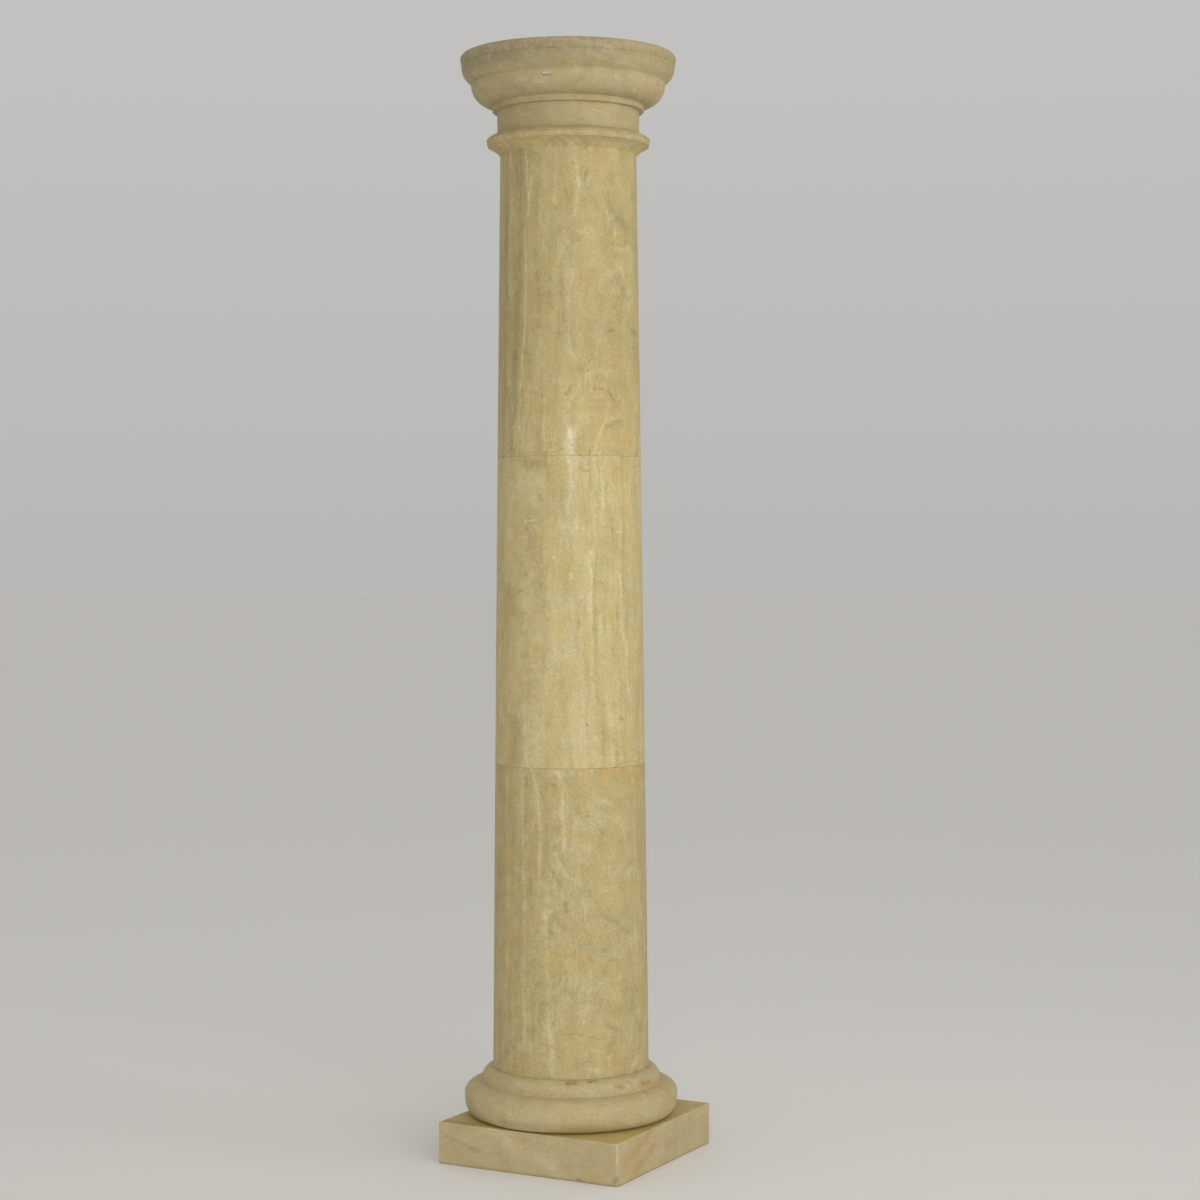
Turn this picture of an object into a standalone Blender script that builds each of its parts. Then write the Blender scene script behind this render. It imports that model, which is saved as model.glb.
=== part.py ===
"""A Tuscan column of honed stone: plinth, moulded base, three shaft drums and a capital.

Units are metres and +Z is up. The shaft and all the turned blocks share one upright axis, and the
origin is where that axis meets the ground. The plinth's middle lies a little to one side of it, as
the blocks were set.
"""

import math

import bmesh
import bpy

# Shaft: diameters at its foot and just under the necking bead, and its slight swelling.
FOOT_DIAMETER = 0.400
HEAD_DIAMETER = 0.3474
ENTASIS = 0.0011

# Blocks from the ground up.
PLINTH_SIDE = 0.513
PLINTH_HEIGHT = 0.1055
PLINTH_ARRIS = 0.003
BASE_HEIGHT = 0.125
LOWER_DRUM_HEIGHT = 0.7775
MIDDLE_DRUM_HEIGHT = 0.781
UPPER_DRUM_HEIGHT = 0.804
CAPITAL_HEIGHT = 0.218

BED_GAP = 0.0003
BED_ARRIS = 0.0016
PLINTH_OFFSET = 0.015

# Base: a large torus, fuller below than above, that rolls under to its bed, and a quarter round.
TORUS_PROJECTION = 0.0735
TORUS_HEIGHT = 0.0855
TORUS_SHOULDER = 0.0295
TORUS_DEPTH = 0.043
TORUS_FOOT_DEPTH = 0.038
TORUS_FOOT_FULLNESS = 2.6
RING_PROJECTION = 0.0293
RING_SEAT = 0.0025
RING_ROUNDING = 0.0075
RING_FILLET = 0.006
BASE_GROOVE = 0.0022

# Necking bead: its lower half is on the upper drum and its top fillet on the capital.
BEAD_DIAMETER = 0.417
BEAD_FILLET = 0.0125
BEAD_QUIRK = 0.0022
BEAD_APOPHYGE = 0.0210
BEAD_COVE = 0.0030
BEAD_SWELL = 0.0005
BEAD_STEP = 0.0072
HOLLOW_RISE = 0.0016
BEAD_TOP_FILLET = 0.0030
BEAD_TOP_ROUND = 0.0118
BEAD_TOP_SWELL = 0.0030

# Capital: neck, fillet, ovolo and a round abacus with an incised line below its upper band.
NECK_DIAMETER = 0.362
NECK_HEIGHT = 0.0592
FILLET_DIAMETER = 0.386
FILLET_HEIGHT = 0.0155
FILLET_SOFFIT = 0.0020
OVOLO_DIAMETER = 0.4955
OVOLO_FOOT_DIAMETER = 0.397
OVOLO_HEIGHT = 0.0553
OVOLO_ROUNDING = 0.0148
QUIRK_DEPTH = 0.0027
QUIRK_HEIGHT = 0.0022
ABACUS_DIAMETER = 0.550
ABACUS_BAND = 0.028
ABACUS_CROWN_WIDTH = 0.0100
ABACUS_CROWN_HEIGHT = 0.0120
ABACUS_SET_IN = 0.0030
ABACUS_ROUNDING = 0.0070
LINE_DEPTH = 0.0015
LINE_HEIGHT = 0.0022

# Facets: sides of every turned block, and steps along each kind of curve.
STEPS = 64
SHAFT_RINGS = 3
LARGE_CURVE_STEPS = 6
CURVE_STEPS = 4
SMALL_CURVE_STEPS = 3
BEVEL_STEPS = 2
SHARP_ANGLE = math.radians(32.0)

# Heights of the beds, worked out from the blocks.
BASE_BED = PLINTH_HEIGHT
SHAFT_FOOT = BASE_BED + BASE_HEIGHT
FIRST_JOINT = SHAFT_FOOT + LOWER_DRUM_HEIGHT
SECOND_JOINT = FIRST_JOINT + MIDDLE_DRUM_HEIGHT
CAPITAL_BED = SECOND_JOINT + UPPER_DRUM_HEIGHT
TOP_BED = CAPITAL_BED + CAPITAL_HEIGHT
BEAD_FOOT = CAPITAL_BED - BED_GAP - BEAD_FILLET - BEAD_QUIRK - BEAD_APOPHYGE


def shaft_radius(z):
    """Radius of the tapering shaft at height z, with its swelling greatest halfway up."""
    rise = (z - SHAFT_FOOT) / (BEAD_FOOT - SHAFT_FOOT)
    taper = FOOT_DIAMETER / 2 + (HEAD_DIAMETER - FOOT_DIAMETER) / 2 * rise
    return taper + 4 * ENTASIS * rise * (1 - rise)


def bow(start, end, rise, count):
    """Points along the arc from start to end that stands off its chord by rise, outward if positive."""
    run_r = end[0] - start[0]
    run_z = end[1] - start[1]
    chord = math.hypot(run_r, run_z)
    radius = (chord * chord / 4 + rise * rise) / (2 * abs(rise))
    half = math.asin(chord / (2 * radius))
    out_r, out_z = -run_z / chord, run_r / chord
    points = []
    for step in range(count + 1):
        angle = half * (2 * step / count - 1)
        along = radius * math.sin(angle)
        off = math.copysign(radius * math.cos(angle) - (radius - abs(rise)), rise)
        middle_r = (start[0] + end[0]) / 2
        middle_z = (start[1] + end[1]) / 2
        points.append((middle_r + along * run_r / chord + off * out_r,
                       middle_z + along * run_z / chord + off * out_z))
    return points


def oval(centre, width, height, first, last, count, fullness=2.0):
    """Points round an ellipse between two angles in degrees, squarer as fullness rises above 2."""
    points = []
    for step in range(count + 1):
        angle = math.radians(first + (last - first) * step / count)
        across = max(math.cos(angle), 0.0) ** (2 / fullness)
        up = math.copysign(abs(math.sin(angle)) ** (2 / fullness), math.sin(angle))
        points.append((centre[0] + width * across, centre[1] + height * up))
    return points


def drum_side(top, bottom):
    """The shaft's face between two heights, with a small arris at each bed."""
    points = [(shaft_radius(top) - BED_ARRIS, top)]
    high = top - BED_ARRIS
    low = bottom + BED_ARRIS
    for ring in range(SHAFT_RINGS + 1):
        z = high + (low - high) * ring / SHAFT_RINGS
        points.append((shaft_radius(z), z))
    points.append((shaft_radius(bottom) - BED_ARRIS, bottom))
    return points


def base_profile():
    """The quarter round and the torus, from the shaft's bed down to the plinth's."""
    bottom = BASE_BED + BED_GAP
    ring_radius = FOOT_DIAMETER / 2 + RING_PROJECTION
    ring_foot = bottom + TORUS_HEIGHT
    seat = FOOT_DIAMETER / 2 + RING_SEAT
    torus_radius = FOOT_DIAMETER / 2 + TORUS_PROJECTION
    torus_middle = ring_foot - TORUS_SHOULDER
    points = bow((seat, SHAFT_FOOT), (ring_radius, ring_foot + RING_FILLET), RING_ROUNDING, CURVE_STEPS)
    points.append((ring_radius, ring_foot + BASE_GROOVE))
    points += oval((torus_radius - TORUS_DEPTH, torus_middle), TORUS_DEPTH, TORUS_SHOULDER,
                   90, 0, LARGE_CURVE_STEPS)
    under = oval((torus_radius - TORUS_FOOT_DEPTH, torus_middle), TORUS_FOOT_DEPTH, torus_middle - bottom,
                 0, -90, LARGE_CURVE_STEPS, TORUS_FOOT_FULLNESS)
    return points + under[1:]


def lower_drum_profile():
    """The lowest stone of the shaft."""
    return drum_side(FIRST_JOINT - BED_GAP, SHAFT_FOOT + BED_GAP)


def middle_drum_profile():
    """The middle stone of the shaft."""
    return drum_side(SECOND_JOINT - BED_GAP, FIRST_JOINT)


def upper_drum_profile():
    """The lower half of the necking bead, its hollow below, and the shaft down to the joint."""
    top = CAPITAL_BED - BED_GAP
    fillet_foot = top - BEAD_FILLET
    quirk_foot = fillet_foot - BEAD_QUIRK
    radius = BEAD_DIAMETER / 2
    points = [(radius - BED_ARRIS, top)]
    points += bow((radius, top - BED_ARRIS), (radius - BEAD_COVE, fillet_foot), BEAD_SWELL,
                  SMALL_CURVE_STEPS)
    points += bow((radius - BEAD_STEP, quirk_foot), (shaft_radius(BEAD_FOOT), BEAD_FOOT), -HOLLOW_RISE,
                  CURVE_STEPS)
    shaft_face = drum_side(BEAD_FOOT, SECOND_JOINT)
    return points + shaft_face[2:]


def capital_profile():
    """Abacus, ovolo, fillet, neck and the bead's top fillet, from the top bed down."""
    neck_foot = CAPITAL_BED + BEAD_TOP_FILLET + BEAD_TOP_ROUND
    neck_top = neck_foot + NECK_HEIGHT
    fillet_top = neck_top + FILLET_SOFFIT + FILLET_HEIGHT
    ovolo_top = fillet_top + OVOLO_HEIGHT
    lip_foot = ovolo_top + QUIRK_HEIGHT
    abacus = ABACUS_DIAMETER / 2
    band = abacus - ABACUS_SET_IN
    ovolo = OVOLO_DIAMETER / 2
    band_foot = TOP_BED - ABACUS_BAND
    crown = (abacus - ABACUS_CROWN_WIDTH, TOP_BED - ABACUS_CROWN_HEIGHT)
    points = oval(crown, ABACUS_CROWN_WIDTH, ABACUS_CROWN_HEIGHT, 90, 0, SMALL_CURVE_STEPS)
    points.append((band, band_foot + LINE_HEIGHT / 2))
    points.append((band - LINE_DEPTH, band_foot))
    points += bow((band, band_foot - LINE_HEIGHT / 2), (ovolo, lip_foot), ABACUS_ROUNDING,
                  LARGE_CURVE_STEPS)
    points.append((ovolo - QUIRK_DEPTH, ovolo_top))
    points += bow((ovolo, ovolo_top - QUIRK_HEIGHT), (OVOLO_FOOT_DIAMETER / 2, fillet_top),
                  OVOLO_ROUNDING, LARGE_CURVE_STEPS)
    points.append((FILLET_DIAMETER / 2, fillet_top - FILLET_SOFFIT / 2))
    points.append((FILLET_DIAMETER / 2, neck_top + FILLET_SOFFIT))
    points.append((NECK_DIAMETER / 2, neck_top))
    points.append((NECK_DIAMETER / 2, neck_foot))
    points += bow((NECK_DIAMETER / 2 + HOLLOW_RISE, neck_foot),
                  (BEAD_DIAMETER / 2, CAPITAL_BED + BEAD_TOP_FILLET), BEAD_TOP_SWELL, SMALL_CURVE_STEPS)
    points.append((BEAD_DIAMETER / 2, CAPITAL_BED + BED_ARRIS))
    points.append((BEAD_DIAMETER / 2 - BED_ARRIS, CAPITAL_BED))
    return points


def stone(name, colour, roughness):
    """A honed, pale yellow-beige stone."""
    material = bpy.data.materials.new(name)
    material.use_nodes = True
    shader = material.node_tree.nodes["Principled BSDF"]
    shader.inputs["Base Color"].default_value = colour
    shader.inputs["Roughness"].default_value = roughness
    shader.inputs["Metallic"].default_value = 0.0
    material.diffuse_color = colour
    return material


def place(piece, material, parts, setting_out):
    """Put a piece in the column's collection, under its setting-out point."""
    piece.data.materials.append(material)
    piece.parent = setting_out
    parts.objects.link(piece)
    return piece


def turned(name, profile, material, parts, setting_out):
    """A turned block: the profile, closed to the axis by its two beds, swept once round."""
    mesh = bpy.data.meshes.new(name)
    outline = [(0.0, profile[0][1])] + profile + [(0.0, profile[-1][1])]
    vertices = [(r, 0.0, z) for r, z in outline]
    edges = [(index, index + 1) for index in range(len(vertices) - 1)]
    mesh.from_pydata(vertices, edges, [])
    block = bpy.data.objects.new(name, mesh)
    sweep = block.modifiers.new("turned", "SCREW")
    sweep.axis = "Z"
    sweep.angle = math.tau
    sweep.steps = STEPS
    sweep.render_steps = STEPS
    sweep.use_merge_vertices = True
    sweep.merge_threshold = 0.00005
    sweep.use_smooth_shade = True
    return place(block, material, parts, setting_out)


def plinth_block(name, material, parts, setting_out):
    """The square slab at the foot, with its arrises worn to a small round."""
    mesh = bpy.data.meshes.new(name)
    shape = bmesh.new()
    bmesh.ops.create_cube(shape, size=1.0)
    bmesh.ops.scale(shape, vec=(PLINTH_SIDE, PLINTH_SIDE, PLINTH_HEIGHT), verts=shape.verts)
    shape.to_mesh(mesh)
    shape.free()
    block = bpy.data.objects.new(name, mesh)
    block.location = (0.0, 0.0, PLINTH_HEIGHT / 2)
    worn = block.modifiers.new("worn arrises", "BEVEL")
    worn.width = PLINTH_ARRIS
    worn.segments = BEVEL_STEPS
    worn.limit_method = "ANGLE"
    mesh.shade_smooth()
    mesh.set_sharp_from_angle(angle=SHARP_ANGLE)
    return place(block, material, parts, setting_out)


def setting_point(name, x, parts):
    """An empty that marks where a group of blocks is set out from."""
    empty = bpy.data.objects.new(name, None)
    empty.empty_display_size = 0.1
    empty.location = (x, 0.0, 0.0)
    parts.objects.link(empty)
    return empty


for leftover in list(bpy.data.objects):
    bpy.data.objects.remove(leftover, do_unlink=True)

column = bpy.data.collections.new("tuscan_column")
bpy.context.scene.collection.children.link(column)
axis = setting_point("shaft_axis", 0.0, column)
ground = setting_point("plinth_middle", PLINTH_OFFSET, column)

plinth_block("plinth", stone("plinth_stone", (0.50, 0.43, 0.24, 1.0), 0.62), column, ground)
turned("base", base_profile(), stone("base_stone", (0.50, 0.43, 0.25, 1.0), 0.60), column, axis)
turned("lower_drum", lower_drum_profile(),
       stone("lower_drum_stone", (0.49, 0.43, 0.24, 1.0), 0.58), column, axis)
turned("middle_drum", middle_drum_profile(),
       stone("middle_drum_stone", (0.49, 0.42, 0.23, 1.0), 0.58), column, axis)
turned("upper_drum", upper_drum_profile(),
       stone("upper_drum_stone", (0.48, 0.42, 0.23, 1.0), 0.58), column, axis)
turned("capital", capital_profile(),
       stone("capital_stone", (0.46, 0.40, 0.23, 1.0), 0.60), column, axis)
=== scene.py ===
"""A Tuscan column of honed travertine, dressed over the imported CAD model.

Units are metres and +Z is up. The blocks stand in the CAD frame: the origin is on the shaft's axis
at the ground.
"""

import math

import bpy
import numpy as np
from mathutils import Matrix, Vector, noise


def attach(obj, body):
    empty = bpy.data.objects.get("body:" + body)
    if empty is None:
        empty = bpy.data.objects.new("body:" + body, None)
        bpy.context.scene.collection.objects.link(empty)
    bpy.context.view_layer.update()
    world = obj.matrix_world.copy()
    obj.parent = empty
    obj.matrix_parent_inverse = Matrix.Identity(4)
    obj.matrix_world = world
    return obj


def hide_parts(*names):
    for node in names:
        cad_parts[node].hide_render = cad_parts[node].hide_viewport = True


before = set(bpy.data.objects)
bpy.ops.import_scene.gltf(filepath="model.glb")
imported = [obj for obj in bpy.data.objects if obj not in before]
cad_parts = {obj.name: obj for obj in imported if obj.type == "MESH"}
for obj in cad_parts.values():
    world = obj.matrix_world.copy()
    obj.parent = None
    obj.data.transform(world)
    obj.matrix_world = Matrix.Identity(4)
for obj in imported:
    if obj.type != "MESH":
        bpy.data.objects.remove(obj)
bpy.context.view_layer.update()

# Plinth: one square slab of travertine, sawn and rubbed smooth, that lies on the ground.
# Knocks have softened its arrises, most of all at the corner that faces the picture.
PLINTH_SIDE = 0.513
PLINTH_HEIGHT = 0.1055
PLINTH_ARRIS = 0.0022
PLINTH_OFFSET = (0.015, 0.0)
CORNER_WEAR = 0.004
CORNER_REACH = 0.02
ARRIS_WEAR = (0.5, 0.05)
ARRIS_NICKS = (0.8, 0.011)
NICK_FLOOR = 0.1
NICK_SEED = 3.0
# Painted highlight along the top arris: how far onto the rounding it reaches, and how much paler it
# makes the stone.
ARRIS_HIGHLIGHT_FROM = 0.25
ARRIS_HIGHLIGHT = 0.14
FOOT_DARKENING = 0.25
FOOT_DARKENING_HEIGHT = 0.008
TOP_FACING = 0.8
# Painted shade on the top faces: the tint that makes them darker and yellower.
TOP_SHADE_TINT = (1.0, 0.95, 0.64)
GRID_STEP = 0.007
GRID_REACH = 0.010
FINE_STEP = 0.0014
LEAST_STEP = 0.6
SHARP_EDGE = 38.0
MM = 0.001
STONE_TONE = "#B9A97D"
SHADOW = "#9B906D"
VEIN = "#CDC097"
CALCITE = "#D3C69E"
PORE = "#7D6B48"
# How far a flaw strays from its course, and over what length: first broadly, then finely.
STRAYS = ((0.003, 0.028), (0.0009, 0.007))
STRAY_SEED = 1
FLAW_REACH = 1.8
FLAW_MARGIN = 0.002
# A pit has a ragged rim. Its lumps are as wide as this share of the pit, and at least this size.
RIM_SHARE = 1.3
RIM_SIZE = 0.0025
RIM_RAGGED = 0.6
RIM_SHARPNESS = 1.6
# A stain or a vein fades out at its sides and comes and goes along its course.
STAIN_FADE = 1.3
STAIN_MEAN = 1.05
STAIN_MOST = 1.5
STAIN_BREAKS = 0.8
STAIN_BREAK_SIZE = 0.009
HONED_ROUGHNESS = (0.58, 0.72)
HONED_IOR = 1.5
HONED_RELIEF = 0.0006
RELIEF_STRENGTH = 0.35


def linear(hex_colour):
    """An sRGB hex colour as linear red, green, blue and alpha."""
    channels = []
    for start in (1, 3, 5):
        share = int(hex_colour[start:start + 2], 16) / 255
        channels.append(share / 12.92 if share <= 0.04045 else ((share + 0.055) / 1.055) ** 2.4)
    return (*channels, 1.0)


def add(tree, kind, links=None, **settings):
    """Add a node; links gives each socket a value or the output that feeds it."""
    made = tree.nodes.new("ShaderNode" + kind)
    for setting, value in settings.items():
        setattr(made, setting, value)
    for socket, value in (links or {}).items():
        if isinstance(value, bpy.types.NodeSocket):
            tree.links.new(value, made.inputs[socket])
        else:
            made.inputs[socket].default_value = value
    return made


def gradings(first, last, step, fine_places, reach, fine=FINE_STEP):
    """Grid positions from first to last, closer together within reach of each fine place."""
    places = [np.linspace(first, last, max(2, round((last - first) / step) + 1))]
    for place in fine_places:
        places.append(np.arange(place - reach, place + reach, fine))
    merged = np.sort(np.concatenate(places))
    kept = [first]
    for place in merged[(merged > first) & (merged < last - fine / 2)]:
        if place - kept[-1] > LEAST_STEP * fine:
            kept.append(place)
    return np.array(kept + [last])


def ripple(points, size, seed=0.0):
    """Smooth noise from about -1 to 1 at each point, with lumps of the given size in metres."""
    shift = Vector((seed, 2.0 * seed, -seed))
    return np.array([noise.noise(Vector(point) / size + shift) for point in points])


def swirl(points, size, seed):
    """A smooth shift at each point, up to about half a unit, that turns over the given size."""
    # Unseeded, this noise would start at another place in each run.
    noise.seed_set(STRAY_SEED)
    shift = Vector((seed, -seed, 3.0 * seed))
    return np.array([noise.noise_vector(Vector(point) / size + shift) for point in points])


def weathering_and_painted_light(points, flaws, seed=0.0):
    """Depth and tint of flaws: pits, chips, cracks, stains and veins; also of painted shade and
    highlights.

    A flaw is its course, its half width and depth in millimetres, its colour and how strong it is.
    Stains and veins have no depth.
    """
    depth = np.zeros(len(points))
    tint = np.ones((len(points), 3))
    stone = np.array(linear(STONE_TONE)[:3])
    bent = points.copy()
    for stray, size in STRAYS:
        bent += stray * swirl(points, size, seed)
    for course, half_width, deep, colour, strength in flaws:
        course = np.array(course, float)
        half = half_width * MM
        reach = FLAW_REACH * half + FLAW_MARGIN
        inside = ((points > course.min(0) - reach) & (points < course.max(0) + reach)).all(1)
        near = bent[inside]
        if not len(near):
            continue
        away = np.full(len(near), np.inf)
        for start, end in zip(course, course[1:]):
            run = end - start
            along = np.clip((near - start) @ run / max(run @ run, 1e-12), 0.0, 1.0)
            away = np.minimum(away, np.linalg.norm(near - start - along[:, None] * run, axis=1))
        if deep:
            ragged = ripple(near, max(RIM_SHARE * half, RIM_SIZE), seed + half_width)
            cover = np.clip((1.0 + RIM_RAGGED * ragged - away / half) * RIM_SHARPNESS, 0.0, 1.0)
        else:
            breaks = ripple(near, STAIN_BREAK_SIZE, seed + half_width)
            cover = np.exp(-STAIN_FADE * (away / half) ** 2)
            cover *= np.clip(STAIN_MEAN + STAIN_BREAKS * breaks, 0.0, STAIN_MOST)
        depth[inside] += deep * MM * cover
        share = (strength * cover)[:, None]
        tint[inside] *= 1.0 + share * (np.array(linear(colour)[:3]) / stone - 1.0)
    return depth, tint


def stone_skin(name, points, faces, tint):
    """The mesh of a block, with the tint of its flaws and veins, and of painted shade and highlights,
    at each point.
    """
    mesh = bpy.data.meshes.new(name)
    mesh.from_pydata(points.tolist(), [], faces)
    layer = mesh.attributes.new("tint", "FLOAT_COLOR", "POINT")
    opaque_tint = np.hstack([tint, np.ones((len(tint), 1))]).astype(np.float32)
    layer.data.foreach_set("color", opaque_tint.ravel())
    mesh.shade_smooth()
    mesh.set_sharp_from_angle(angle=math.radians(SHARP_EDGE))
    return mesh


def set_in_place(name, mesh, material, node):
    """Show a finished block in place of its CAD node."""
    block = bpy.data.objects.new(name, mesh)
    bpy.context.scene.collection.objects.link(block)
    block.data.materials.append(material)
    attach(block, "root")
    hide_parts(node)


def travertine(name, bedding, colours, stripes=0.44, cloudy=0.42, mottled=0.6, seed=0.0):
    """Honed travertine, filled and rubbed to a dull finish: layers, pale veins, clouds and pits.

    It is solid, so each face cuts through the layers: stripes where it crosses them and clouds
    where it runs along them. bedding is the bearing and the tilt, in degrees, that they face.
    """
    dark, middle, light, warm = colours
    bearing, tilt = bedding
    lay = Matrix.Rotation(math.radians(tilt), 3, "Y") @ Matrix.Rotation(math.radians(-bearing), 3, "Z")
    material = bpy.data.materials.new(name)
    material.use_nodes = True
    tree = material.node_tree
    shader = tree.nodes["Principled BSDF"]
    place = add(tree, "TexCoord").outputs["Object"]
    laid = add(tree, "Mapping", {"Vector": place, "Rotation": lay.to_euler(),
                                 "Location": (seed, 1.7 * seed, 0.6 * seed)}).outputs[0]
    # The layers wander by some 15 mm either way over a quarter of a metre, and less at finer steps.
    drift = add(tree, "TexNoise", {"Vector": laid, "Scale": 4.5, "Detail": 5.0, "Roughness": 0.55})
    wandering = add(tree, "VectorMath", {0: drift.outputs["Color"], 1: (0.060, 0.045, 0.045), 2: laid},
                    operation="MULTIPLY_ADD").outputs[0]
    # Layers 10 to 25 mm thick that run for 80 mm across and 200 mm up.
    thin = add(tree, "VectorMath", {0: wandering, 1: (62.0, 12.0, 5.0)},
               operation="MULTIPLY").outputs[0]
    layers = add(tree, "TexNoise", {"Vector": thin, "Scale": 1.0, "Detail": 4.0, "Roughness": 0.62})
    clouds = add(tree, "TexNoise", {"Vector": laid, "Scale": 28.0, "Detail": 6.0, "Roughness": 0.6})
    # Mottling of crystals, drawn at 6 mm where the real ones are finer than the picture shows.
    mottle = add(tree, "TexNoise", {"Vector": place, "Scale": 165.0, "Detail": 3.0, "Roughness": 0.7})
    tone = 0.5 - 0.5 * (stripes + cloudy + mottled)
    for source, share in ((layers, stripes), (clouds, cloudy), (mottle, mottled)):
        tone = add(tree, "Math", {0: source.outputs[0], 1: share, 2: tone},
                   operation="MULTIPLY_ADD").outputs[0]
    tones = add(tree, "ValToRGB", {"Fac": tone})
    darkest, lightest = tones.color_ramp.elements
    darkest.position = 0.30
    darkest.color = linear(dark)
    lightest.position = 0.70
    lightest.color = linear(light)
    tones.color_ramp.elements.new(0.5).color = linear(middle)
    # Iron has warmed patches some tens of millimetres across. Sockets 1 to 4 of a MapRange are the
    # range that it reads and the one that it gives.
    iron = add(tree, "TexNoise", {"Vector": laid, "Scale": 20.0, "Detail": 5.0, "Roughness": 0.65})
    warmth = add(tree, "MapRange", {0: iron.outputs[0], 1: 0.44, 2: 0.68, 3: 0.0, 4: 0.52}).outputs[0]
    colour = add(tree, "Mix", {0: warmth, 6: tones.outputs[0], 7: linear(warm)},
                 data_type="RGBA").outputs[2]
    # Each crystal leans a little to pink, green or grey.
    lean = add(tree, "VectorMath",
               {0: mottle.outputs["Color"], 1: (0.22, 0.16, 0.32), 2: (0.89, 0.92, 0.84)},
               operation="MULTIPLY_ADD").outputs[0]
    colour = add(tree, "Mix", {0: 1.0, 6: colour, 7: lean}, data_type="RGBA",
                 blend_type="MULTIPLY").outputs[2]
    # Thin calcite veins follow the layers and come and go.
    seam_place = add(tree, "VectorMath", {0: wandering, 1: (30.0, 8.0, 3.0)},
                     operation="MULTIPLY").outputs[0]
    seams = add(tree, "TexNoise", {"Vector": seam_place, "Scale": 1.0, "Detail": 1.5, "Roughness": 0.5})
    off_seam = add(tree, "Math", {0: seams.outputs[0], 1: 0.5}, operation="SUBTRACT").outputs[0]
    off_seam = add(tree, "Math", {0: off_seam}, operation="ABSOLUTE").outputs[0]
    vein = add(tree, "MapRange", {0: off_seam, 1: 0.0, 2: 0.022, 3: 0.42, 4: 0.0}).outputs[0]
    shown = add(tree, "MapRange", {0: clouds.outputs[0], 1: 0.42, 2: 0.60, 3: 0.0, 4: 1.0}).outputs[0]
    vein = add(tree, "Math", {0: vein, 1: shown}, operation="MULTIPLY").outputs[0]
    colour = add(tree, "Mix", {0: vein, 6: colour, 7: linear(CALCITE)}, data_type="RGBA").outputs[2]
    # Open pores 1 to 3 mm wide, stretched along the layers.
    pore_place = add(tree, "VectorMath", {0: wandering, 1: (330.0, 150.0, 110.0)},
                     operation="MULTIPLY").outputs[0]
    pores = add(tree, "TexNoise", {"Vector": pore_place, "Scale": 1.0, "Detail": 1.0})
    pore = add(tree, "MapRange", {0: pores.outputs[0], 1: 0.715, 2: 0.76, 3: 0.0, 4: 0.4}).outputs[0]
    colour = add(tree, "Mix", {0: pore, 6: colour, 7: linear(PORE)}, data_type="RGBA").outputs[2]
    # The tint carries the flaws and veins, and painted shade and highlights.
    tint = add(tree, "Attribute", attribute_name="tint").outputs["Color"]
    colour = add(tree, "Mix", {0: 1.0, 6: colour, 7: tint}, data_type="RGBA",
                 blend_type="MULTIPLY").outputs[2]
    tree.links.new(colour, shader.inputs["Base Color"])
    smoothest, roughest = HONED_ROUGHNESS
    rubbed = add(tree, "MapRange", {0: mottle.outputs[0], 1: 0.3, 2: 0.7,
                                    3: smoothest, 4: roughest}).outputs[0]
    tree.links.new(rubbed, shader.inputs["Roughness"])
    relief = add(tree, "Math", {0: pore, 1: -1.5, 2: mottle.outputs[0]},
                 operation="MULTIPLY_ADD").outputs[0]
    honed = add(tree, "Bump",
                {"Height": relief, "Strength": RELIEF_STRENGTH, "Distance": HONED_RELIEF})
    tree.links.new(honed.outputs[0], shader.inputs["Normal"])
    shader.inputs["IOR"].default_value = HONED_IOR
    return material


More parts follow.
